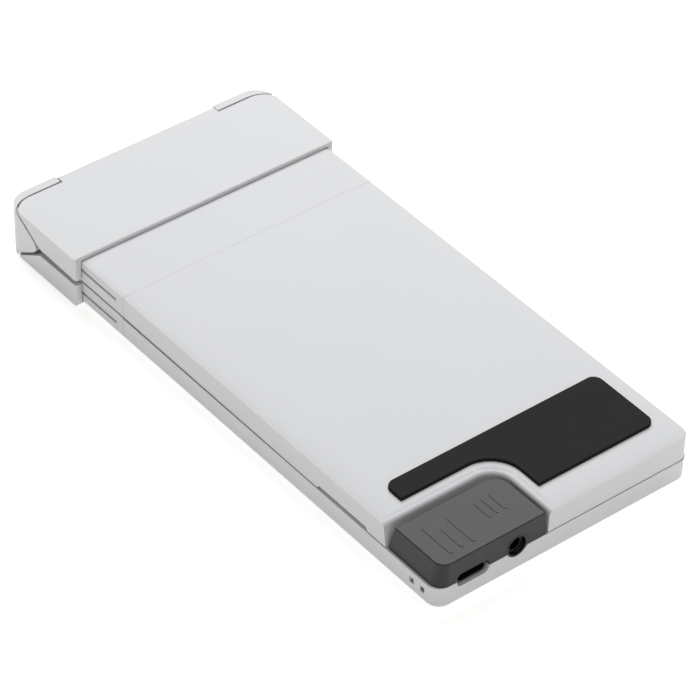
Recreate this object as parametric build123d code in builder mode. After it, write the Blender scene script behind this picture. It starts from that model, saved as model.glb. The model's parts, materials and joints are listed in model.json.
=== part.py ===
# Folding pocket keyboard controller, folded shut.
# Two leaves of keys lie face to face.  A spine with two pivots joins the two
# hinge sleeves, and each leaf slides in its own sleeve.
# Millimetres.  +X across, +Y towards the hinge end, +Z up, origin at the
# middle of the underside.
import os
from build123d import *

os.makedirs("parts", exist_ok=True)

# ---------------------------------------------------------------- dimensions
LENGTH = 175.0          # hinge end to connector end, folded
THICK = 15.0            # folded thickness
SLEEVE_W = 83.0         # across the hinge sleeves
LEAF_W = 79.2           # across a leaf
Y_FAR = LENGTH / 2
Y_NEAR = -LENGTH / 2
MID_Z = THICK / 2

# sleeves and hinge
SLEEVE_PLATE = 0.85     # thickness of a sleeve's outer plate
SLEEVE_IN = 39.8        # inner half width of a sleeve
MOUTH_Y = Y_FAR - 31.9  # sleeve mouth
MOUTH_R = 0.8           # rounding of the mouth
PLATE_END_Y = Y_FAR - 3.1
PLATE_ARC_X = 35.7      # the plate's far corners curve from here
PLATE_ARC_R = 6.56
PLATE_SIDE_Y = Y_FAR - 6.6
KNUCKLE_HALF = 25.2     # half length of the central hinge knuckle
EAR_IN = 25.5           # inner end of a spine ear
PIVOT_IN = 1.4          # pivot distance from the far face and outer face
PIVOT_Y = Y_FAR - PIVOT_IN
PIN_R = 0.5
PIN_HALF = 37.0
SPINE_T = 2.4
SPINE_GAP = 0.1         # spine ears stand this far inside the outer planes
RIB_Z0, RIB_Z1 = 3.5, 4.1
GROOVE_Z0, GROOVE_Z1 = 3.35, 4.25
GROOVE_END_Y = Y_FAR - 46.8
CORNER_R = 6.2          # far plan corners
# cheek outline: distance from the far face, height
CHEEK = [(2.0, 0.7), (5.0, 1.0), (6.3, 1.55), (12.3, 5.25), (13.2, 6.0), (13.8, 6.85), (14.0, 7.5)]

# leaf trays (given for the lower leaf, the upper one is its mirror image)
SKIN_Z = 0.85           # outer plane of a leaf
STRIP_Z = 1.03          # outer plane of the stretch that enters the sleeve
STRIP_Y = Y_FAR - 49.8
EDGE_Z = 1.25           # crisp outer edge under the crown
FLOOR_Z = 2.05          # inside of the floor
WALL = 1.3
LEAF_END_Y = Y_FAR - 20.9
OVER_Z = 3.95           # underside of the overhang by the hinge
OVER_FLOOR_Z = 4.25
OVER_END_Y = Y_FAR - 13.35
RIM_Z = 7.1
LEAF_NEAR_Y = Y_NEAR + 0.2
LEAF_CORNER_R = 3.6
HALF = LEAF_W / 2
IN_X = HALF - WALL
IN_NEAR_Y = LEAF_NEAR_Y + WALL
IN_END_Y = LEAF_END_Y - WALL
LIP_OUT = 0.2           # the lower rim stands proud by this much
# crown of the outer face: height above the skin plane and inset from the edge
CROWN = [(1.25, 0.0), (1.12, 0.8), (0.98, 2.3), (0.89, 4.1), (0.85, 6.2)]

# key bed
BOARD_Z0, BOARD_Z1 = 2.1, 2.9
SHEET_Z0, SHEET_Z1 = 2.95, 3.45
DOME_TOP_Z = 4.85
KEY_Z0 = 5.1
KEY_FLANGE_Z = 5.65
FRAME_Z0, FRAME_Z1 = 5.8, 6.5
KEY_TOP_Z = 7.3
FLANGE = 0.4
KEY_GAP = 0.2           # cap to frame
PITCH = 19.4
KEY_Y0 = 73.5           # end of the first natural key
NAT_X0, NAT_X1 = 3.4, 36.4
SHARP_X0, SHARP_X1 = -27.0, -1.0
SHARP_W = 10.4
NAT_W = PITCH - 1.3
BEZEL_SPLIT_Y = -65.7   # joint between the two pieces of the upper bezel
SCREWS = [(-34.0, 56.0), (-34.0, 6.0), (-34.0, -46.0), (1.2, 62.0), (1.2, 5.0), (1.2, -56.0)]
BOSS_R = 1.3
BOSS_TOP_Z = 5.75
MAGNETS = [(-10.0, -57.0), (-27.0, -57.0)]
MAGNET_R, MAGNET_T = 3.0, 1.6

# connector corner
USB_X, USB_Z = -28.7, 7.1
USB_W, USB_H = 8.94, 3.26
JACK_X, JACK_Z = -15.3, 8.3
JACK_RING_R = 3.2
JACK_BORE_R = 1.8
BOX_TOP_Z = 14.1
BOX_FOOT_Z = 7.16

# foot pads
PAD_X0, PAD_X1 = -31.4, 34.9
PAD_Y0, PAD_Y1 = -79.2, -56.9
PAD_R = 2.7

# cutout in the upper leaf, from rim side to outer face:
# (height from the outer plane's side, right edge x, far edge y, corner radius)
NOTCH = [
    (7.95, -5.70, -68.10, 5.2),
    (2.25, -5.50, -67.30, 5.8),
    (1.80, -5.35, -67.15, 6.0),
    (1.50, -5.10, -66.90, 6.2),
    (1.32, -4.75, -66.50, 6.6),
    (1.27, -4.45, -66.20, 6.9),
    (1.25, -3.75, -65.60, 7.5),
    (0.82, -2.95, -64.80, 8.3),
    (0.00, -2.95, -64.80, 8.3),
]

UP = Plane.XY.offset(MID_Z)


def on(z):
    """Horizontal sketch plane at height z."""
    return Plane.XY.offset(z)


def side(x):
    """Sketch plane at x whose local axes are +Y and +Z."""
    return Plane(origin=(x, 0, 0), x_dir=(0, 1, 0), z_dir=(1, 0, 0))


def block(x0, x1, y0, y1, z0, z1, mode=Mode.ADD):
    """A block between corners, in the part being built."""
    with BuildSketch(on(z0)) as sk0:
        with Locations(((x0 + x1) / 2, (y0 + y1) / 2)):
            Rectangle(x1 - x0, y1 - y0)
    extrude(sk0.sketch, amount=z1 - z0, mode=mode)


def corner_profile(x_right, y_top, radius, mode=Mode.ADD):
    """Corner area left of x_right and below y_top, with one rounded corner."""
    with BuildLine() as outline:
        Polyline((-60, y_top), (-60, -110), (x_right, -110), (x_right, y_top - radius))
        RadiusArc((x_right, y_top - radius), (x_right - radius, y_top), -radius)
        Line((x_right - radius, y_top), (-60, y_top))
    make_face(outline.edges(), mode=mode)


def round_rect(x0, x1, y0, y1, near_r, far_r):
    """Plan outline with separate radii at the near and far ends."""
    with BuildSketch(mode=Mode.PRIVATE) as s:
        with Locations(((x0 + x1) / 2, (y0 + y1) / 2)):
            Rectangle(x1 - x0, y1 - y0)
        if near_r > 0.05:
            fillet(s.vertices().group_by(Axis.Y)[0], near_r)
        if far_r > 0.05:
            fillet(s.vertices().group_by(Axis.Y)[-1], far_r)
    return s.sketch


def tray():
    """One leaf's tray, outer face down, in the part being built."""
    # walls up to the rim
    with BuildSketch(on(EDGE_Z)) as sk0:
        add(round_rect(-HALF, HALF, LEAF_NEAR_Y, LEAF_END_Y, LEAF_CORNER_R, 0))
    extrude(sk0.sketch, amount=RIM_Z - EDGE_Z)
    # crowned outer face
    for (z0, i0), (z1, i1) in zip(CROWN[1:], CROWN[:-1]):
        with BuildSketch(on(z0)) as sk0:
            add(round_rect(-HALF + i0, HALF - i0, LEAF_NEAR_Y + i0, LEAF_END_Y,
                           max(LEAF_CORNER_R - 0.45 * i0, 1.0), 0))
        with BuildSketch(on(z1)) as sk1:
            add(round_rect(-HALF + i1, HALF - i1, LEAF_NEAR_Y + i1, LEAF_END_Y,
                           max(LEAF_CORNER_R - 0.45 * i1, 1.0), 0))
        loft([sk0.sketch, sk1.sketch], ruled=True)
    # the stretch that enters the sleeve is set back
    block(-50, 50, STRIP_Y, LEAF_END_Y + 5, -1, STRIP_Z, mode=Mode.SUBTRACT)
    # overhang by the hinge
    block(-HALF, HALF, LEAF_END_Y, OVER_END_Y, OVER_Z, RIM_Z)
    # insides
    block(-IN_X, IN_X, IN_NEAR_Y, IN_END_Y, FLOOR_Z, RIM_Z + 2, mode=Mode.SUBTRACT)
    block(-IN_X, IN_X, IN_END_Y - 1, OVER_END_Y - 0.5, OVER_FLOOR_Z, RIM_Z + 2, mode=Mode.SUBTRACT)
    # guide grooves for the sleeve's ribs
    for s in (-1, 1):
        xa, xb = sorted((s * (HALF - 0.5), s * (HALF + 2)))
        block(xa, xb, GROOVE_END_Y, OVER_END_Y + 2, GROOVE_Z0, GROOVE_Z1, mode=Mode.SUBTRACT)


def bosses():
    """Screw bosses on the tray's floor."""
    with BuildSketch(on(FLOOR_Z - 0.2)) as sk0:
        with Locations(*SCREWS):
            Circle(BOSS_R)
    extrude(sk0.sketch, amount=BOSS_TOP_Z - FLOOR_Z + 0.2)
    with BuildSketch(on(BOSS_TOP_Z)) as sk0:
        with Locations(*SCREWS):
            Circle(0.75)
    extrude(sk0.sketch, amount=-2.9, mode=Mode.SUBTRACT)


def finish(builder, name):
    builder.part.label = name
    export_step(builder.part, "parts/" + name + ".step")


# ---------------------------------------------------------------- lower leaf
with BuildPart() as lower_shell:
    tray()
    # proud lip under the parting line
    with BuildSketch(on(RIM_Z - 0.75)):
        add(round_rect(-HALF - LIP_OUT, HALF + LIP_OUT, LEAF_NEAR_Y - LIP_OUT, STRIP_Y,
                       LEAF_CORNER_R + LIP_OUT, 0))
        add(round_rect(-IN_X - 0.3, IN_X + 0.3, IN_NEAR_Y - 0.3, STRIP_Y + 1, 2.0, 0),
            mode=Mode.SUBTRACT)
    extrude(amount=0.75)
    bosses()
    # recess for the foot pad
    with BuildSketch(on(0)):
        add(round_rect(PAD_X0 - 0.1, PAD_X1 + 0.1, PAD_Y0 - 0.1, PAD_Y1 + 0.1, PAD_R, PAD_R))
    extrude(amount=1.05, mode=Mode.SUBTRACT)
    # lower half of the connector openings
    with BuildSketch(Plane.XZ.offset(-Y_NEAR + 5)):
        with Locations((USB_X, USB_Z)):
            RectangleRounded(USB_W + 1.0, USB_H + 0.7, 1.7)
        with Locations((JACK_X, JACK_Z)):
            Circle(JACK_RING_R + 0.05)
    extrude(amount=-9, mode=Mode.SUBTRACT)
    # two square holes for a lanyard, joined behind the wall
    for yc in (-78.0, -81.9):
        block(-45, -HALF + 1.0, yc - 0.8, yc + 0.8, 3.3, 4.9, mode=Mode.SUBTRACT)
    block(-HALF + 0.9, -HALF + WALL + 0.5, -82.7, -77.2, 3.3, 4.9, mode=Mode.SUBTRACT)
finish(lower_shell, "lower_shell")

with BuildPart() as lower_foot_pad:
    with BuildSketch(on(0)):
        add(round_rect(PAD_X0, PAD_X1, PAD_Y0, PAD_Y1, PAD_R - 0.1, PAD_R - 0.1))
    extrude(amount=1.03)
    fillet(lower_foot_pad.faces().sort_by(Axis.Z)[0].edges(), 0.25)
finish(lower_foot_pad, "lower_foot_pad")


def board(cut=None):
    """Circuit board with clearance for the bosses."""
    with BuildSketch(on(BOARD_Z0)) as sk0:
        add(round_rect(-IN_X + 0.3, IN_X - 0.3, IN_NEAR_Y + 0.3, IN_END_Y - 0.3, 0.8, 0.8))
        with Locations(*SCREWS):
            Circle(BOSS_R + 0.2, mode=Mode.SUBTRACT)
        if cut:
            corner_profile(*cut, mode=Mode.SUBTRACT)
    extrude(sk0.sketch, amount=BOARD_Z1 - BOARD_Z0)


with BuildPart() as lower_circuit_board:
    board()
    block(-40, -36.5, -83.5, -76.4, 2, 3, mode=Mode.SUBTRACT)
finish(lower_circuit_board, "lower_circuit_board")

# natural key centres run from the hinge outwards: k = 0, 1, 2 ...
LOWER_NATURALS = ["b", "a", "g", "f", "e", "d", "c"]
LOWER_SHARPS = {1: "a_sharp", 2: "g_sharp", 3: "f_sharp", 5: "d_sharp", 6: "c_sharp"}
UPPER_NATURALS = ["c", "d", "e", "f", "g", "a", "b", "c_high"]
UPPER_SHARPS = {1: "c_sharp", 2: "d_sharp", 4: "f_sharp", 5: "g_sharp", 6: "a_sharp"}


def natural_y(k):
    return KEY_Y0 - PITCH * (k + 0.5)


def sharp_y(k):
    return KEY_Y0 - PITCH * k


NAT_X = (NAT_X0 + NAT_X1) / 2
NAT_L = NAT_X1 - NAT_X0
SHARP_X = (SHARP_X0 + SHARP_X1) / 2
SHARP_L = SHARP_X1 - SHARP_X0
lower_sites = [(NAT_X, natural_y(k), NAT_L, NAT_W) for k in range(7)] + \
              [(SHARP_X, sharp_y(k), SHARP_L, SHARP_W) for k in LOWER_SHARPS]
upper_sites = [(NAT_X, natural_y(k), NAT_L, NAT_W) for k in range(8)] + \
              [(SHARP_X, sharp_y(k), SHARP_L, SHARP_W) for k in UPPER_SHARPS]
BUTTON_L, BUTTON_W = 14.6, 8.6
BUTTON_SITES = {
    "octave_down_button": (12.1, -69.2),
    "octave_up_button": (27.7, -69.2),
    "mode_button": (12.1, -79.8),
    "hold_button": (27.7, -79.8),
}
button_sites = [(x, y, BUTTON_L, BUTTON_W) for x, y in BUTTON_SITES.values()]


def sheet(sites, y0):
    """Rubber dome sheet: one dome under each key."""
    with BuildSketch(on(SHEET_Z0)) as sk0:
        with Locations((3.5, (y0 + IN_END_Y - 0.5) / 2)):
            Rectangle(66.0, IN_END_Y - 0.5 - y0)
        with Locations(*SCREWS):
            Circle(BOSS_R + 0.2, mode=Mode.SUBTRACT)
    extrude(sk0.sketch, amount=SHEET_Z1 - SHEET_Z0)
    with BuildSketch(on(SHEET_Z1)) as sk0:
        with Locations(*[(x, min(y, IN_END_Y - 4.0)) for x, y, _, _ in sites]):
            Circle(2.7)
    extrude(sk0.sketch, amount=DOME_TOP_Z - SHEET_Z1, taper=35)


with BuildPart() as lower_dome_sheet:
    sheet(lower_sites + button_sites, IN_NEAR_Y + 0.5)
    # clear of the connector board and of the magnets
    block(-60, -5.5, -110, -67.8, 2, 6, mode=Mode.SUBTRACT)
    with BuildSketch(on(SHEET_Z0)):
        with Locations(*MAGNETS):
            Circle(MAGNET_R + 0.3)
    extrude(amount=2, mode=Mode.SUBTRACT)
finish(lower_dome_sheet, "lower_dome_sheet")


def key_frame(sites, cut, span=None):
    """Bezel plate with one opening for each key, in one piece or one stretch of it."""
    with BuildSketch(on(FRAME_Z0)) as sk0:
        add(round_rect(-IN_X + 0.15, IN_X - 0.15, IN_NEAR_Y + 0.15, OVER_END_Y - 0.65, 0.6, 0.3))
        for x, y, length, width in sites:
            with Locations((x, y)):
                RectangleRounded(length + 2 * KEY_GAP, width + 2 * KEY_GAP, 1.0, mode=Mode.SUBTRACT)
        corner_cut(cut)
        if span:
            with Locations((0, (span[0] + span[1]) / 2)):
                Rectangle(100, span[1] - span[0], mode=Mode.INTERSECT)
    extrude(sk0.sketch, amount=FRAME_Z1 - FRAME_Z0)
    with BuildSketch(on(FRAME_Z1)) as sk0:
        with Locations(*SCREWS):
            Circle(1.45)
    extrude(sk0.sketch, amount=-0.35, mode=Mode.SUBTRACT)
    with BuildSketch(on(FRAME_Z1)) as sk0:
        with Locations(*SCREWS):
            Circle(0.8)
    extrude(sk0.sketch, amount=-2, mode=Mode.SUBTRACT)


def corner_cut(cut):
    """Take the connector corner out of the sketch being built."""
    corner_profile(*cut, mode=Mode.SUBTRACT)


with BuildPart() as lower_key_frame:
    key_frame(lower_sites + button_sites, (-5.75, -68.2, 5.4))
finish(lower_key_frame, "lower_key_frame")


def screws():
    """Six countersunk-in-place pan screws, heads on the frame."""
    with BuildSketch(on(FRAME_Z1 - 0.33)) as sk0:
        with Locations(*SCREWS):
            Circle(1.35)
    extrude(sk0.sketch, amount=0.55)
    with BuildSketch(on(FRAME_Z1 - 0.33)) as sk0:
        with Locations(*SCREWS):
            Circle(0.7)
    extrude(sk0.sketch, amount=-3.0)
    # cross recess
    for x, y in SCREWS:
        block(x - 0.75, x + 0.75, y - 0.15, y + 0.15, FRAME_Z1, FRAME_Z1 + 1, mode=Mode.SUBTRACT)
        block(x - 0.15, x + 0.15, y - 0.75, y + 0.75, FRAME_Z1, FRAME_Z1 + 1, mode=Mode.SUBTRACT)


with BuildPart() as lower_shell_screws:
    screws()
finish(lower_shell_screws, "lower_shell_screws")


def magnets():
    with BuildSketch(on(FRAME_Z0 - 0.05 - MAGNET_T)) as sk0:
        with Locations(*MAGNETS):
            Circle(MAGNET_R)
    extrude(sk0.sketch, amount=MAGNET_T)


with BuildPart() as lower_magnets:
    magnets()
finish(lower_magnets, "lower_magnets")

with BuildPart() as control_chips:
    for x, y, sx, sy, h in ((-33.5, -22.0, 7.0, 7.0, 0.9), (-34.0, -33.0, 3.2, 2.5, 0.8),
                            (-34.0, 24.0, 5.0, 4.4, 1.2), (-34.5, 33.0, 3.0, 3.0, 0.8),
                            (-33.5, -5.0, 6.0, 5.0, 1.1)):
        block(x - sx / 2, x + sx / 2, y - sy / 2, y + sy / 2, BOARD_Z1 + 0.02, BOARD_Z1 + h)
finish(control_chips, "control_chips")

# ---------------------------------------------------------------- connectors
with BuildPart() as connector_board:
    block(-37.4, -7.6, -85.4, -70.3, 4.85, 5.42)
finish(connector_board, "connector_board")

with BuildPart() as usb_c_shell:
    with BuildSketch(Plane.XZ.offset(-Y_NEAR - 1.1)):
        with Locations((USB_X, USB_Z)):
            RectangleRounded(USB_W, USB_H, 1.55)
    extrude(amount=-7.3)
    with BuildSketch(Plane.XZ.offset(-Y_NEAR - 1.1)):
        with Locations((USB_X, USB_Z)):
            RectangleRounded(USB_W - 0.6, USB_H - 0.6, 1.27)
    extrude(amount=-6.8, mode=Mode.SUBTRACT)
finish(usb_c_shell, "usb_c_shell")

with BuildPart() as usb_c_tongue:
    with BuildSketch(Plane.XZ.offset(-Y_NEAR - 2.0)):
        with Locations((USB_X, USB_Z)):
            RectangleRounded(6.6, 0.7, 0.2)
    extrude(amount=-5.85)
    with BuildSketch(Plane.XZ.offset(-Y_NEAR - 6.45)):
        with Locations((USB_X, USB_Z)):
            RectangleRounded(USB_W - 0.7, USB_H - 0.7, 1.2)
    extrude(amount=-1.4)
finish(usb_c_tongue, "usb_c_tongue")

with BuildPart() as jack_body:
    block(JACK_X - 3.6, JACK_X + 3.6, -86.0, -72.4, 5.45, 11.9)
    with BuildSketch(Plane.XZ.offset(-Y_NEAR - 1.3)):
        with Locations((JACK_X, JACK_Z)):
            Circle(2.6)
    extrude(amount=-0.5)
    with BuildSketch(Plane.XZ.offset(-Y_NEAR + 1)):
        with Locations((JACK_X, JACK_Z)):
            Circle(JACK_BORE_R)
    extrude(amount=-15.1, mode=Mode.SUBTRACT)
finish(jack_body, "jack_body")

with BuildPart() as jack_ring:
    with BuildSketch(Plane.XZ.offset(-Y_NEAR - 0.15)):
        with Locations((JACK_X, JACK_Z)):
            Circle(JACK_RING_R)
            Circle(2.72, mode=Mode.SUBTRACT)
    extrude(amount=-0.95)
finish(jack_ring, "jack_ring")


def box_profile(x0, x1, y0, y1, r_nl, r_fr, r_small):
    """Plan of the connector housing, rounded differently at each corner."""
    with BuildSketch(mode=Mode.PRIVATE) as s:
        with BuildLine() as outline:
            Line((x0, y0 + r_nl), (x0, y1 - r_small))
            RadiusArc((x0, y1 - r_small), (x0 + r_small, y1), r_small)
            Line((x0 + r_small, y1), (x1 - r_fr, y1))
            RadiusArc((x1 - r_fr, y1), (x1, y1 - r_fr), r_fr)
            Line((x1, y1 - r_fr), (x1, y0 + r_small))
            RadiusArc((x1, y0 + r_small), (x1 - r_small, y0), r_small)
            Line((x1 - r_small, y0), (x0 + r_nl, y0))
            RadiusArc((x0 + r_nl, y0), (x0, y0 + r_nl), r_nl)
        make_face(outline.edges())
    return s.sketch


with BuildPart() as connector_housing:
    with BuildSketch(on(BOX_FOOT_Z)):
        add(box_profile(-39.2, -6.0, -87.3, -68.5, 3.4, 5.0, 0.35))
    with BuildSketch(on(BOX_TOP_Z)):
        add(box_profile(-38.35, -6.85, -87.25, -69.8, 3.0, 4.7, 0.35))
    loft(ruled=True)
    fillet(connector_housing.faces().sort_by(Axis.Z)[-1].edges(), 0.3)
    # skirt inside the lower shell's walls
    with BuildSketch(on(5.6)):
        add(box_profile(-38.1, -6.0, -85.75, -68.5, 1.2, 5.0, 0.35))
    extrude(amount=BOX_FOOT_Z - 5.6 + 0.2)
    with BuildSketch(on(5.0)):
        add(box_profile(-36.9, -7.9, -84.6, -70.2, 1.0, 3.6, 0.35))
    extrude(amount=12.85 - 5.0, mode=Mode.SUBTRACT)
    # openings for the two connectors
    with BuildSketch(Plane.XZ.offset(-Y_NEAR + 5)):
        with Locations((USB_X, USB_Z)):
            RectangleRounded(USB_W + 1.0, USB_H + 0.7, 1.7)
        with Locations((JACK_X, JACK_Z)):
            Circle(JACK_RING_R + 0.05)
    extrude(amount=-8.1, mode=Mode.SUBTRACT)
    # the jack body passes the skirt and the back of the near wall
    block(JACK_X - 3.75, JACK_X + 3.75, -86.1, -84.0, 5.0, 12.05, mode=Mode.SUBTRACT)
    block(USB_X - 5.0, USB_X + 5.0, -86.2, -84.0, 5.0, USB_Z, mode=Mode.SUBTRACT)
    # plain moulded bars on the lid
    for i, (x, ya, yb) in enumerate(((-33.0, -84.5, -73.5), (-29.6, -84.5, -76.2),
                                     (-26.2, -84.5, -73.5), (-18.0, -80.4, -74.0),
                                     (-15.6, -80.4, -74.0), (-13.2, -80.4, -74.0))):
        with BuildSketch(on(BOX_TOP_Z - 0.1)):
            with Locations((x, (ya + yb) / 2)):
                SlotOverall(abs(yb - ya), 1.3 if i < 3 else 0.9, rotation=90)
        extrude(amount=0.2)
finish(connector_housing, "connector_housing")

# ---------------------------------------------------------------- upper leaf
with BuildPart() as upper_shell:
    tray()
    # the rim closes down on the lower leaf away from the hinge
    with BuildSketch(on(RIM_Z - 0.3)):
        add(round_rect(-HALF, HALF, LEAF_NEAR_Y, LEAF_END_Y, LEAF_CORNER_R, 0))
        with Locations((0, (IN_NEAR_Y + 70) / 2)):
            Rectangle(2 * IN_X, 70 - IN_NEAR_Y, mode=Mode.SUBTRACT)
    extrude(amount=0.9)
    for s in (-1, 1):
        with BuildSketch(side(s * (HALF + 3)) if s < 0 else side(HALF - 5)):
            with BuildLine():
                Polyline((LEAF_END_Y + 1, 9), (LEAF_END_Y + 1, 7.18), (30, 7.25),
                         (-42, 7.68), (-42, 9), close=True)
            make_face()
        extrude(amount=8, mode=Mode.SUBTRACT)
    bosses()
    # walls that stand round the cutout
    with BuildSketch(on(FLOOR_Z - 0.3)):
        corner_profile(-4.2, -66.1, 6.5)
        with Locations((0, 0)):
            Rectangle(2 * HALF - 0.4, 2 * (-LEAF_NEAR_Y) - 0.4, mode=Mode.INTERSECT)
    extrude(amount=7.7 - FLOOR_Z + 0.3)
    for lo, hi in zip(NOTCH[1:], NOTCH[:-1]):
        with BuildSketch(on(lo[0])):
            corner_profile(lo[1], lo[2], lo[3])
        with BuildSketch(on(hi[0])):
            corner_profile(hi[1], hi[2], hi[3])
        loft(ruled=True, mode=Mode.SUBTRACT)
    # recess for the foot pad
    with BuildSketch(on(0)):
        add(round_rect(PAD_X0 - 0.1, PAD_X1 + 0.1, PAD_Y0 - 0.1, PAD_Y1 + 0.1, PAD_R, PAD_R))
        corner_cut((-2.15, -63.6, 8.9))
    extrude(amount=1.05, mode=Mode.SUBTRACT)
    # finger notch under the left edge
    with BuildSketch(side(-HALF - 1)):
        with BuildLine():
            Polyline((-41.2, 9), (-42.4, 6.75), (-60.6, 6.75), (-61.8, 9), close=True)
        make_face()
    extrude(amount=1.7, mode=Mode.SUBTRACT)
    mirror(about=UP, mode=Mode.REPLACE)
finish(upper_shell, "upper_shell")

with BuildPart() as upper_foot_pad:
    with BuildSketch(on(0)):
        add(round_rect(PAD_X0, PAD_X1, PAD_Y0, PAD_Y1, PAD_R - 0.1, PAD_R - 0.1))
        corner_cut((-2.05, -63.5, 9.0))
    extrude(amount=1.03)
    fillet(upper_foot_pad.faces().sort_by(Axis.Z)[0].edges(), 0.25)
    mirror(about=UP, mode=Mode.REPLACE)
finish(upper_foot_pad, "upper_foot_pad")

with BuildPart() as upper_circuit_board:
    board(cut=(-3.9, -65.8, 6.7))
    mirror(about=UP, mode=Mode.REPLACE)
finish(upper_circuit_board, "upper_circuit_board")

with BuildPart() as upper_dome_sheet:
    sheet(upper_sites, IN_NEAR_Y + 0.5)
    block(-60, -3.7, -110, -65.6, 2, 6, mode=Mode.SUBTRACT)
    with BuildSketch(on(SHEET_Z0)):
        with Locations(*MAGNETS):
            Circle(MAGNET_R + 0.3)
    extrude(amount=2, mode=Mode.SUBTRACT)
    mirror(about=UP, mode=Mode.REPLACE)
finish(upper_dome_sheet, "upper_dome_sheet")

# the upper bezel is in two pieces, which meet beside the connector corner
with BuildPart() as upper_key_frame:
    key_frame(upper_sites, (-4.0, -65.9, 6.7), (BEZEL_SPLIT_Y + 0.05, 90))
    mirror(about=UP, mode=Mode.REPLACE)
finish(upper_key_frame, "upper_key_frame")

with BuildPart() as upper_end_bezel:
    key_frame(upper_sites, (-4.0, -60.0, 1.0), (-90, BEZEL_SPLIT_Y - 0.05))
    mirror(about=UP, mode=Mode.REPLACE)
finish(upper_end_bezel, "upper_end_bezel")

with BuildPart() as upper_shell_screws:
    screws()
    mirror(about=UP, mode=Mode.REPLACE)
finish(upper_shell_screws, "upper_shell_screws")

with BuildPart() as upper_magnets:
    magnets()
    mirror(about=UP, mode=Mode.REPLACE)
finish(upper_magnets, "upper_magnets")

with BuildPart() as matrix_chips:
    for x, y, sx, sy, h in ((-33.5, -24.0, 5.0, 6.4, 1.1), (-33.5, 26.0, 5.0, 6.4, 1.1)):
        block(x - sx / 2, x + sx / 2, y - sy / 2, y + sy / 2, BOARD_Z1 + 0.02, BOARD_Z1 + h)
    mirror(about=UP, mode=Mode.REPLACE)
finish(matrix_chips, "matrix_chips")


# ---------------------------------------------------------------- keys
def key(x, y, length, width, top_r, lid):
    """One key: cap with a dished lid and a retaining flange under the frame."""
    with BuildSketch(on(KEY_Z0)) as sk0:
        with Locations((x, y)):
            RectangleRounded(length + 2 * FLANGE, width + 2 * FLANGE, 0.9)
    extrude(sk0.sketch, amount=KEY_FLANGE_Z - KEY_Z0)
    with BuildSketch(on(KEY_FLANGE_Z)) as sk0:
        with Locations((x, y)):
            RectangleRounded(length, width, 0.9)
    cap = extrude(sk0.sketch, amount=KEY_TOP_Z - lid - KEY_FLANGE_Z)
    fillet(cap.faces().sort_by(Axis.Z)[-1].edges(), top_r)
    # hollow from below, with a stem that meets the dome
    with BuildSketch(on(KEY_Z0)) as sk0:
        with Locations((x, y)):
            RectangleRounded(length - 1.6, width - 1.6, 0.5)
        with Locations((x, min(y, IN_END_Y - 4.0))):
            Rectangle(5.0, min(width, 12.0) - 3.0, mode=Mode.SUBTRACT)
    extrude(sk0.sketch, amount=1.1, mode=Mode.SUBTRACT)


for k, note in enumerate(LOWER_NATURALS):
    with BuildPart() as lower_key:
        key(NAT_X, natural_y(k), NAT_L, NAT_W, 0.35, 0.0)
    finish(lower_key, "lower_key_" + note)
for k, note in LOWER_SHARPS.items():
    with BuildPart() as lower_key:
        key(SHARP_X, sharp_y(k), SHARP_L, SHARP_W, 0.35, 0.0)
    finish(lower_key, "lower_key_" + note)
for k, note in enumerate(UPPER_NATURALS):
    with BuildPart() as upper_key:
        key(NAT_X, natural_y(k), NAT_L, NAT_W, 0.35, 0.0)
        mirror(about=UP, mode=Mode.REPLACE)
    finish(upper_key, "upper_key_" + note)
for k, note in UPPER_SHARPS.items():
    with BuildPart() as upper_key:
        key(SHARP_X, sharp_y(k), SHARP_L, SHARP_W, 0.35, 0.0)
        mirror(about=UP, mode=Mode.REPLACE)
    finish(upper_key, "upper_key_" + note)
for name, (bx, by) in BUTTON_SITES.items():
    with BuildPart() as button:
        key(bx, by, BUTTON_L, BUTTON_W, 0.3, 0.1)
    finish(button, name)


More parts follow.
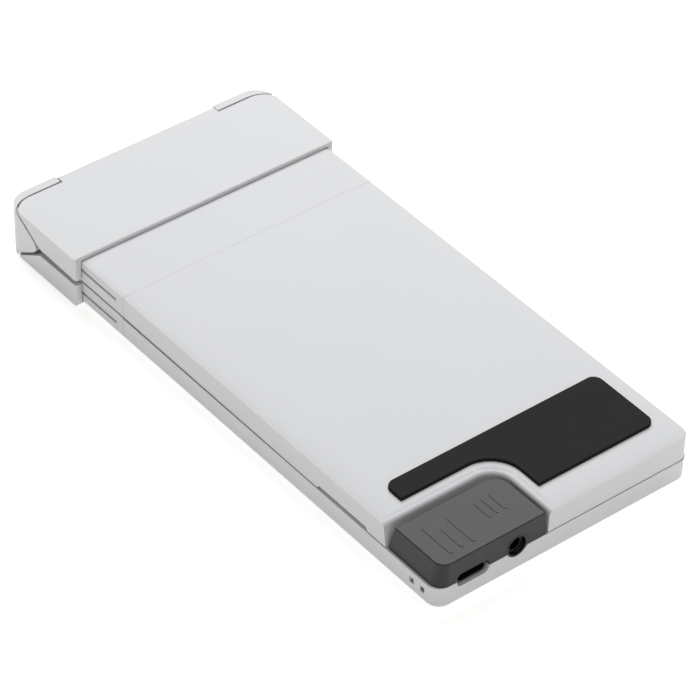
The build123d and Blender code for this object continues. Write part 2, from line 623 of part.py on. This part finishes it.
# ---------------------------------------------------------------- sleeves
def sleeve(builder):
    """Hinge sleeve: outer plate, side walls, guide ribs and central knuckle."""
    half = SLEEVE_W / 2
    with BuildSketch(on(0)) as sk0:
        with BuildLine() as outline:
            Polyline((-half, PLATE_SIDE_Y), (-half, MOUTH_Y), (half, MOUTH_Y), (half, PLATE_SIDE_Y))
            RadiusArc((half, PLATE_SIDE_Y), (PLATE_ARC_X, PLATE_END_Y), -PLATE_ARC_R)
            Line((PLATE_ARC_X, PLATE_END_Y), (-PLATE_ARC_X, PLATE_END_Y))
            RadiusArc((-PLATE_ARC_X, PLATE_END_Y), (-half, PLATE_SIDE_Y), -PLATE_ARC_R)
        make_face(outline.edges())
    extrude(sk0.sketch, amount=SLEEVE_PLATE)
    # side walls, cut away on a slant for the spine's cheeks
    for x0 in (-SLEEVE_W / 2, SLEEVE_IN):
        with BuildSketch(side(x0)) as sk0:
            with BuildLine():
                Polyline((MOUTH_Y, 0.2), (MOUTH_Y, 6.75), (Y_FAR - 15.8, 6.45),
                         (PLATE_SIDE_Y, 0.8), (PLATE_SIDE_Y, 0.2), close=True)
            make_face()
        extrude(sk0.sketch, amount=SLEEVE_W / 2 - SLEEVE_IN)
    # rounded mouth
    fillet(builder.edges().filter_by(
        lambda e: abs(e.center().Y - MOUTH_Y) < 0.01
        and (abs(e.center().Z) < 0.01 or abs(abs(e.center().X) - SLEEVE_W / 2) < 0.01)), MOUTH_R)
    # central stretch reaches the knuckle
    block(-KNUCKLE_HALF, KNUCKLE_HALF, PLATE_END_Y - 2, PIVOT_Y, 0, SLEEVE_PLATE)
    block(-KNUCKLE_HALF, KNUCKLE_HALF, PIVOT_Y - PIVOT_IN, PIVOT_Y, 0, PIVOT_IN)
    with BuildSketch(side(-KNUCKLE_HALF)) as sk0:
        with Locations((PIVOT_Y, PIVOT_IN)):
            Circle(PIVOT_IN)
    extrude(sk0.sketch, amount=2 * KNUCKLE_HALF)
    # guide ribs that run in the leaf's grooves
    for x0, x1 in ((-SLEEVE_IN - 0.2, -SLEEVE_IN + 0.45), (SLEEVE_IN - 0.45, SLEEVE_IN + 0.2)):
        block(x0, x1, MOUTH_Y + 3.0, Y_FAR - 14.5, RIB_Z0, RIB_Z1)
    # pin hole, with running clearance
    with BuildSketch(side(-KNUCKLE_HALF - 1)) as sk0:
        with Locations((PIVOT_Y, PIVOT_IN)):
            Circle(PIN_R + 0.05)
    extrude(sk0.sketch, amount=2 * KNUCKLE_HALF + 2, mode=Mode.SUBTRACT)


with BuildPart() as lower_sleeve:
    sleeve(lower_sleeve)
finish(lower_sleeve, "lower_sleeve")

with BuildPart() as upper_sleeve:
    sleeve(upper_sleeve)
    mirror(about=UP, mode=Mode.REPLACE)
finish(upper_sleeve, "upper_sleeve")

# ---------------------------------------------------------------- spine
with BuildPart() as hinge_spine:
    # middle stretch between the two knuckles
    block(-EAR_IN - 1, EAR_IN + 1, Y_FAR - SPINE_T, Y_FAR, 3.1, THICK - 3.1)
    # ears with cheeks
    for s in (-1, 1):
        with BuildSketch(side(EAR_IN if s > 0 else -SLEEVE_W / 2)):
            with BuildLine():
                Polyline((Y_FAR - SPINE_T, SPINE_GAP), (Y_FAR, SPINE_GAP),
                         (Y_FAR, THICK - SPINE_GAP), (Y_FAR - SPINE_T, THICK - SPINE_GAP),
                         close=True)
            make_face()
        ear = extrude(amount=SLEEVE_W / 2 - EAR_IN)
        with BuildSketch(side(SLEEVE_IN if s > 0 else -SLEEVE_W / 2)):
            with BuildLine():
                Polyline(*[(Y_FAR - d, z) for d, z in CHEEK],
                         *[(Y_FAR - d, THICK - z) for d, z in CHEEK[-2::-1]], close=True)
            make_face()
        extrude(amount=SLEEVE_W / 2 - SLEEVE_IN)
        # corner plates that carry on the line of the sleeve plates
        for z0 in (SPINE_GAP, THICK - 0.9):
            with BuildSketch(on(z0)):
                with Locations((s * (PLATE_ARC_X + 2.1), Y_FAR - 2.85)):
                    Rectangle(4.2, 1.8)
                with Locations((s * 40.65, Y_FAR - 4.2)):
                    Rectangle(1.7, 4.4)
                with Locations((s * PLATE_ARC_X, PLATE_END_Y - PLATE_ARC_R)):
                    Circle(PLATE_ARC_R + 0.6, mode=Mode.SUBTRACT)
            extrude(amount=0.9 - SPINE_GAP)
    # round the far plan corners
    for s in (-1, 1):
        with BuildSketch(on(-1)):
            with Locations((s * (SLEEVE_W / 2 - CORNER_R / 2 + 1), Y_FAR - CORNER_R / 2 + 1)):
                Rectangle(CORNER_R + 2, CORNER_R + 2)
            with Locations((s * (SLEEVE_W / 2 - CORNER_R), Y_FAR - CORNER_R)):
                Circle(CORNER_R, mode=Mode.SUBTRACT)
        extrude(amount=THICK + 2, mode=Mode.SUBTRACT)
    # pin holes in the ears
    for z in (PIVOT_IN, THICK - PIVOT_IN):
        with BuildSketch(side(-PIN_HALF - 0.1)):
            with Locations((PIVOT_Y, z)):
                Circle(PIN_R + 0.01)
        extrude(amount=2 * PIN_HALF + 0.2, mode=Mode.SUBTRACT)
finish(hinge_spine, "hinge_spine")

for name, z in (("lower_hinge_pin", PIVOT_IN), ("upper_hinge_pin", THICK - PIVOT_IN)):
    with BuildPart() as pin:
        with BuildSketch(side(-PIN_HALF)):
            with Locations((PIVOT_Y, z)):
                Circle(PIN_R)
        extrude(amount=2 * PIN_HALF)
    finish(pin, name)

with BuildPart() as flex_cable:
    block(-8, 8, Y_FAR - SPINE_T - 0.25, Y_FAR - SPINE_T - 0.05, 3.3, THICK - 3.3)
finish(flex_cable, "flex_cable")
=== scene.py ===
import json
import math
import bpy
import bmesh
from mathutils import Matrix, Vector

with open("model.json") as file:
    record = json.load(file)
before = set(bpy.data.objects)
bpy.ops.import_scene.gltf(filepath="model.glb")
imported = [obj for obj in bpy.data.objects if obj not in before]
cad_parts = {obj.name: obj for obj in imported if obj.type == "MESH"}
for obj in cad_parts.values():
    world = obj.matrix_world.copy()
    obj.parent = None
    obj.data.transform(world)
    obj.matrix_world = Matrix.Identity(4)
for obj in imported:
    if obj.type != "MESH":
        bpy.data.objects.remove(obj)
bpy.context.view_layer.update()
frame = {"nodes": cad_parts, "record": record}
NODES = frame["nodes"]
MM = 0.001


# ------------------------------------------------------------------ materials
def material(name):
    m = bpy.data.materials.new(name)
    m.use_nodes = True
    nt = m.node_tree
    nt.nodes.clear()
    out = nt.nodes.new("ShaderNodeOutputMaterial")
    b = nt.nodes.new("ShaderNodeBsdfPrincipled")
    nt.links.new(b.outputs[0], out.inputs[0])
    return m, nt, b


def coords(nt, scale=(1, 1, 1)):
    tc = nt.nodes.new("ShaderNodeTexCoord")
    mp = nt.nodes.new("ShaderNodeMapping")
    mp.inputs["Scale"].default_value = scale
    nt.links.new(tc.outputs["Object"], mp.inputs["Vector"])
    return mp.outputs[0]


def noise(nt, vec, scale, detail=4.0, rough=0.55):
    n = nt.nodes.new("ShaderNodeTexNoise")
    n.inputs["Scale"].default_value = scale
    n.inputs["Detail"].default_value = detail
    n.inputs["Roughness"].default_value = rough
    nt.links.new(vec, n.inputs["Vector"])
    return n.outputs["Fac"]


def ramp(nt, fac, stops):
    r = nt.nodes.new("ShaderNodeValToRGB")
    el = r.color_ramp.elements
    while len(el) < len(stops):
        el.new(0.5)
    for e, (p, c) in zip(el, stops):
        e.position = p
        e.color = (c[0], c[1], c[2], 1)
    nt.links.new(fac, r.inputs[0])
    return r.outputs[0]


def span(nt, fac, lo, hi):
    r = nt.nodes.new("ShaderNodeMapRange")
    r.inputs["To Min"].default_value = lo
    r.inputs["To Max"].default_value = hi
    nt.links.new(fac, r.inputs["Value"])
    return r.outputs[0]


def bump(nt, height, strength, distance, chain=None):
    b = nt.nodes.new("ShaderNodeBump")
    b.inputs["Strength"].default_value = strength
    b.inputs["Distance"].default_value = distance
    nt.links.new(height, b.inputs["Height"])
    if chain is not None:
        nt.links.new(chain, b.inputs["Normal"])
    return b.outputs[0]


def shade(c, k):
    return tuple(max(0.0, min(1.0, v * k)) for v in c)


def lin(*rgb):
    return tuple(((v / 255) / 12.92) if v <= 10 else (((v / 255) + 0.055) / 1.055) ** 2.4 for v in rgb)


def moulded(name, color, rough=(0.42, 0.52), grain=2600.0, grain_depth=0.00003,
            wave=30.0, vary=0.02, spec=0.5, sss=0.0):
    """Moulded plastic: fine eroded grain, faint sink and flow variation."""
    m, nt, b = material(name)
    v = coords(nt)
    slow = noise(nt, v, wave, 2.0)
    fine = noise(nt, v, grain, 3.0, 0.6)
    mid = noise(nt, v, grain * 0.28, 2.0, 0.5)
    nt.links.new(ramp(nt, slow, [(0.3, shade(color, 1 - vary)), (0.7, shade(color, 1 + vary))]),
                 b.inputs["Base Color"])
    nt.links.new(span(nt, fine, rough[0], rough[1]), b.inputs["Roughness"])
    n1 = bump(nt, slow, 0.05, 0.0004)
    n2 = bump(nt, mid, 0.10, grain_depth, n1)
    n3 = bump(nt, fine, 0.18, grain_depth, n2)
    nt.links.new(n3, b.inputs["Normal"])
    b.inputs["Specular IOR Level"].default_value = spec
    if sss:
        b.inputs["Subsurface Weight"].default_value = sss
        b.inputs["Subsurface Radius"].default_value = (0.6, 0.5, 0.4)
        b.inputs["Subsurface Scale"].default_value = 0.0006
    return m


def rubber(name, color, rough=(0.62, 0.78)):
    """Soft pad rubber: matt, with a fine woven press mark and dust speckle."""
    m, nt, b = material(name)
    v = coords(nt)
    speck = noise(nt, v, 1500.0, 2.0, 0.7)
    cloud = noise(nt, v, 60.0, 4.0, 0.6)
    base = ramp(nt, cloud, [(0.25, shade(color, 0.93)), (0.75, shade(color, 1.07))])
    mix = nt.nodes.new("ShaderNodeMixRGB")
    mix.inputs["Color2"].default_value = (*shade(color, 1.7), 1)
    nt.links.new(ramp(nt, speck, [(0.62, (0, 0, 0)), (0.8, (0.35, 0.35, 0.35))]), mix.inputs["Fac"])
    nt.links.new(base, mix.inputs["Color1"])
    nt.links.new(mix.outputs[0], b.inputs["Base Color"])
    nt.links.new(span(nt, cloud, rough[0], rough[1]), b.inputs["Roughness"])
    n1 = bump(nt, noise(nt, v, 900.0, 3.0, 0.6), 0.30, 0.00005)
    n2 = bump(nt, cloud, 0.10, 0.0002, n1)
    nt.links.new(n2, b.inputs["Normal"])
    b.inputs["Specular IOR Level"].default_value = 0.09
    return m


def metal(name, color, rough=(0.22, 0.4), streak=(1, 14, 1)):
    m, nt, b = material(name)
    v = coords(nt, streak)
    n = noise(nt, v, 260.0, 5.0, 0.6)
    nt.links.new(ramp(nt, n, [(0.3, shade(color, 0.9)), (0.7, shade(color, 1.06))]), b.inputs["Base Color"])
    nt.links.new(span(nt, n, *rough), b.inputs["Roughness"])
    nt.links.new(bump(nt, n, 0.08, 0.00004), b.inputs["Normal"])
    b.inputs["Metallic"].default_value = 1.0
    return m


def circuit(name):
    """Green solder mask over copper runs and a weave that shows through."""
    m, nt, b = material(name)
    v = coords(nt)
    br = nt.nodes.new("ShaderNodeTexBrick")
    br.inputs["Scale"].default_value = 420.0
    br.inputs["Mortar Size"].default_value = 0.03
    br.inputs["Color1"].default_value = (*lin(24, 92, 58), 1)
    br.inputs["Color2"].default_value = (*lin(18, 78, 48), 1)
    br.inputs["Mortar"].default_value = (*lin(46, 120, 76), 1)
    nt.links.new(v, br.inputs["Vector"])
    nt.links.new(br.outputs["Color"], b.inputs["Base Color"])
    n = noise(nt, v, 700.0, 3.0)
    nt.links.new(span(nt, n, 0.28, 0.42), b.inputs["Roughness"])
    nt.links.new(bump(nt, n, 0.1, 0.00003), b.inputs["Normal"])
    return m


def painted_step_shade(m, at, half_width, amount):
    """Painted shade: a faint dark line multiplied into the base colour along the step that crosses the leaf
    at one length, standing in for the step's shadow.
    """
    nt = m.node_tree
    b = next(n for n in nt.nodes if n.type == "BSDF_PRINCIPLED")
    src = b.inputs["Base Color"].links[0].from_socket
    tc = nt.nodes.new("ShaderNodeTexCoord")
    xyz = nt.nodes.new("ShaderNodeSeparateXYZ")
    nt.links.new(tc.outputs["Object"], xyz.inputs[0])
    off = nt.nodes.new("ShaderNodeMath")
    off.operation = "SUBTRACT"
    off.inputs[1].default_value = at
    nt.links.new(xyz.outputs["Y"], off.inputs[0])
    mag = nt.nodes.new("ShaderNodeMath")
    mag.operation = "ABSOLUTE"
    nt.links.new(off.outputs[0], mag.inputs[0])
    fade = nt.nodes.new("ShaderNodeMapRange")
    fade.inputs["From Min"].default_value = half_width * 0.4
    fade.inputs["From Max"].default_value = half_width
    fade.inputs["To Min"].default_value = amount
    fade.inputs["To Max"].default_value = 0.0
    nt.links.new(mag.outputs[0], fade.inputs["Value"])
    # darkens the base colour close to the step: painted shade
    mix = nt.nodes.new("ShaderNodeMixRGB")
    mix.blend_type = "MULTIPLY"
    mix.inputs["Color2"].default_value = (0.45, 0.46, 0.47, 1)
    nt.links.new(fade.outputs[0], mix.inputs["Fac"])
    nt.links.new(src, mix.inputs["Color1"])
    nt.links.new(mix.outputs[0], b.inputs["Base Color"])
    return m


WHITE = lin(210, 211, 213)
M = {
    "white_plastic": moulded("white_plastic", WHITE, (0.46, 0.58), vary=0.006, spec=0.4),
    "hinge_plastic": moulded("hinge_plastic", lin(209, 210, 212), (0.42, 0.54), vary=0.006, spec=0.4),
    "pad_rubber": rubber("pad_rubber", lin(36, 37, 37)),
    "grey_plastic": moulded("grey_plastic", lin(36, 36, 37), (0.4, 0.52), grain=2000.0,
                            grain_depth=0.00005, vary=0.03, spec=0.36),
    "bezel_plastic": moulded("bezel_plastic", lin(44, 44, 46), (0.5, 0.62), vary=0.04),
    "circuit_board": circuit("circuit_board"),
    "dome_rubber": rubber("dome_rubber", lin(176, 178, 180), (0.5, 0.62)),
    "screw_steel": metal("screw_steel", lin(150, 150, 153)),
    "magnet_plating": metal("magnet_plating", lin(196, 196, 198), (0.12, 0.25)),
    "black_plastic": moulded("black_plastic", lin(10, 10, 11), (0.4, 0.55), vary=0.05),
    "connector_steel": metal("connector_steel", lin(128, 129, 132), (0.28, 0.42)),
    "flex_film": moulded("flex_film", lin(176, 108, 32), (0.2, 0.35), vary=0.06),
    "key_white": moulded("key_white", lin(236, 235, 231), (0.24, 0.34), vary=0.008),
    "key_dark": moulded("key_dark", lin(38, 38, 40), (0.3, 0.42), vary=0.04),
    "button_grey": moulded("button_grey", lin(86, 86, 88), (0.35, 0.5), vary=0.03),
}
# painted shade: dark line along the upper leaf's step at y = 37.7 mm
painted_step_shade(M["white_plastic"], 0.0377, 0.0003, 0.3)
HINGE = {"lower_sleeve", "upper_sleeve", "hinge_spine"}
slot_of = {s["node"]: s["material_slot"] for s in frame["record"]["subparts"]}
for name, obj in NODES.items():
    key = "hinge_plastic" if name in HINGE else slot_of[name]
    mat = M[key]
    if obj.material_slots:
        for s in obj.material_slots:
            s.material = mat
    else:
        obj.data.materials.append(mat)


# ------------------------------------------------------------------ CAD nodes
def soften(name, width, segments=3, angle=32, flat=True):
    """Breaks a CAD node's sharp edges and smooths its faces, by modifiers."""
    o = NODES[name]
    w = o.modifiers.new("weld", "WELD")
    w.merge_threshold = 2e-6
    if flat:
        d = o.modifiers.new("flat", "DECIMATE")
        d.decimate_type = "DISSOLVE"
        d.angle_limit = math.radians(0.3)
    b = o.modifiers.new("edge", "BEVEL")
    b.width = width * MM
    b.segments = segments
    b.limit_method = "ANGLE"
    b.angle_limit = math.radians(angle)
    b.harden_normals = False
    b.use_clamp_overlap = True
    n = o.modifiers.new("faces", "WEIGHTED_NORMAL")
    n.weight = 100
    o.data.polygons.foreach_set("use_smooth", [True] * len(o.data.polygons))
    return o


# ------------------------------------------------------------------ stage
floor_me = bpy.data.meshes.new("floor")
bm = bmesh.new()
bmesh.ops.create_grid(bm, x_segments=8, y_segments=8, size=3.0)
bm.to_mesh(floor_me)
bm.free()
floor = bpy.data.objects.new("floor", floor_me)
bpy.context.collection.objects.link(floor)
fm, nt, b = material("floor")
v = coords(nt)
nt.links.new(ramp(nt, noise(nt, v, 6.0, 3.0), [(0.3, (0.93, 0.93, 0.93)), (0.7, (0.95, 0.95, 0.95))]),
             b.inputs["Base Color"])
b.inputs["Roughness"].default_value = 0.9
b.inputs["Specular IOR Level"].default_value = 0.1
b.inputs["Emission Color"].default_value = (1, 0.985, 0.96, 1)
b.inputs["Emission Strength"].default_value = 0.52
floor_me.materials.append(fm)

world = bpy.data.worlds.new("world")
bpy.context.scene.world = world
world.use_nodes = True
bg = world.node_tree.nodes["Background"]
bg.inputs[0].default_value = (1, 1, 1, 1)
bg.inputs[1].default_value = 0.29


def area(name, loc, target, size, power, size_y=None):
    li = bpy.data.lights.new(name, "AREA")
    li.energy = power
    li.size = size
    if size_y:
        li.shape = "RECTANGLE"
        li.size_y = size_y
    o = bpy.data.objects.new(name, li)
    bpy.context.collection.objects.link(o)
    o.location = loc
    o.rotation_euler = (Vector(target) - Vector(loc)).to_track_quat("-Z", "Y").to_euler()
    return o


area("panel", (0.50, 0.62, 0.80), (0, 0, 0), 0.85, 10.9)
area("overhead", (0.06, -0.42, 1.15), (0, 0, 0), 0.8, 3.1)

# camera fitted to the case: rows are image right, image down and forward
RIGHT = Vector((0.78583272, -0.61825192, 0.01521535))
DOWN = Vector((-0.39066027, -0.51532313, -0.7627756))
FORWARD = Vector((0.4794283, 0.59346999, -0.64648424))
EYE = Vector((-0.46672043, -0.58203007, 0.63417737))
cam_data = bpy.data.cameras.new("camera")
cam_data.sensor_width = 36.0
cam_data.lens = 36.0 * 3885.86 / 700.0
cam_data.clip_start = 0.01
cam = bpy.data.objects.new("camera", cam_data)
bpy.context.collection.objects.link(cam)
mw = Matrix.Identity(4)
for r in range(3):
    mw[r][0] = RIGHT[r]
    mw[r][1] = -DOWN[r]
    mw[r][2] = -FORWARD[r]
    mw[r][3] = EYE[r]
cam.matrix_world = mw
bpy.context.scene.camera = cam
bpy.context.scene.view_settings.view_transform = "Standard"

for n in ("upper_shell", "lower_shell"):
    soften(n, 0.18)
soften("hinge_spine", 0.12, 2)
for n in ("upper_sleeve", "lower_sleeve"):
    soften(n, 0.1, 2, 40, flat=False)
for n in NODES:
    if "_key_" in n and "frame" not in n or n.endswith("_button"):
        soften(n, 0.12, 2)
for n in ("connector_housing", "upper_foot_pad", "lower_foot_pad", "jack_ring", "jack_body"):
    soften(n, 0.1, 2)
